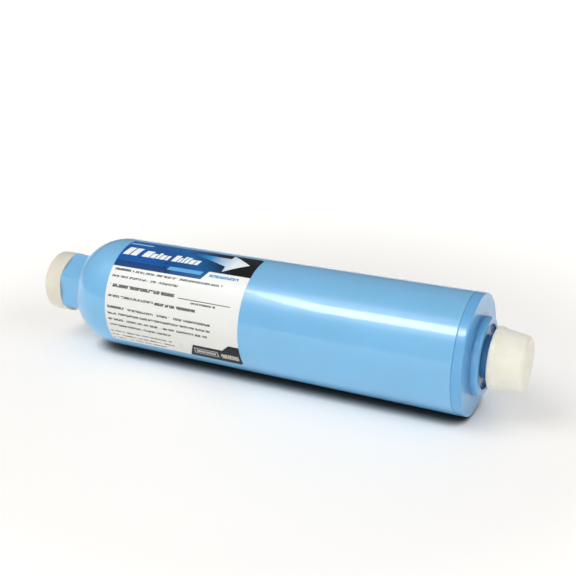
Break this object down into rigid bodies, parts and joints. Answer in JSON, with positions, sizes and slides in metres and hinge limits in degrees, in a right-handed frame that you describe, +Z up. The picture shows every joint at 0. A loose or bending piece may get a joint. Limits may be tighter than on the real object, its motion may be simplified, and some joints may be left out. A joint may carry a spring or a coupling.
{
  "type": "inline water filter",
  "caption": "Inline hose water filter: a blue tapered tube with a hexagonal female inlet, a male threaded outlet spout, a plug, a cap and a packed filter bed inside.",
  "frame": {"origin": "middle of the whole object's box, on the surface that the tube lies on", "axes": "+X along the flow, from the hexagonal inlet to the threaded outlet; +Z up; the label faces -Y"},
  "size_m": [0.3104, 0.07, 0.07],
  "materials": {
    "housing_shell": "gloss",
    "outlet_end_cap": "gloss",
    "inlet_plug": "satin",
    "outlet_cap": "satin",
    "inlet_hose_washer": "matte",
    "inlet_diffuser_plate": "satin",
    "inlet_felt_pad": "matte",
    "copper_zinc_bed": "satin",
    "divider_felt_pad": "matte",
    "carbon_bed": "matte",
    "foam_compression_pad": "matte",
    "sediment_pad": "matte",
    "outlet_retainer_plate": "satin",
    "label": "satin"
  },
  "bodies": {
    "filter": {"housing_shell": "housing_shell", "outlet_end_cap": "outlet_end_cap", "inlet_hose_washer": "inlet_hose_washer", "inlet_diffuser_plate": "inlet_diffuser_plate", "inlet_felt_pad": "inlet_felt_pad", "copper_zinc_bed": "copper_zinc_bed", "divider_felt_pad": "divider_felt_pad", "carbon_bed": "carbon_bed", "foam_compression_pad": "foam_compression_pad", "sediment_pad": "sediment_pad", "outlet_retainer_plate": "outlet_retainer_plate", "label": "label"},
    "plug": {"inlet_plug": "inlet_plug"},
    "cap": {"outlet_cap": "outlet_cap"}
  },
  "joints": [
    {"name": "inlet_plug_pull", "type": "slide", "parent": "filter", "child": "plug", "axis": [-1, 0, 0], "range_m": [0, 0.03]},
    {"name": "outlet_cap_pull", "type": "slide", "parent": "filter", "child": "cap", "axis": [1, 0, 0], "range_m": [0, 0.035]}
  ]
}
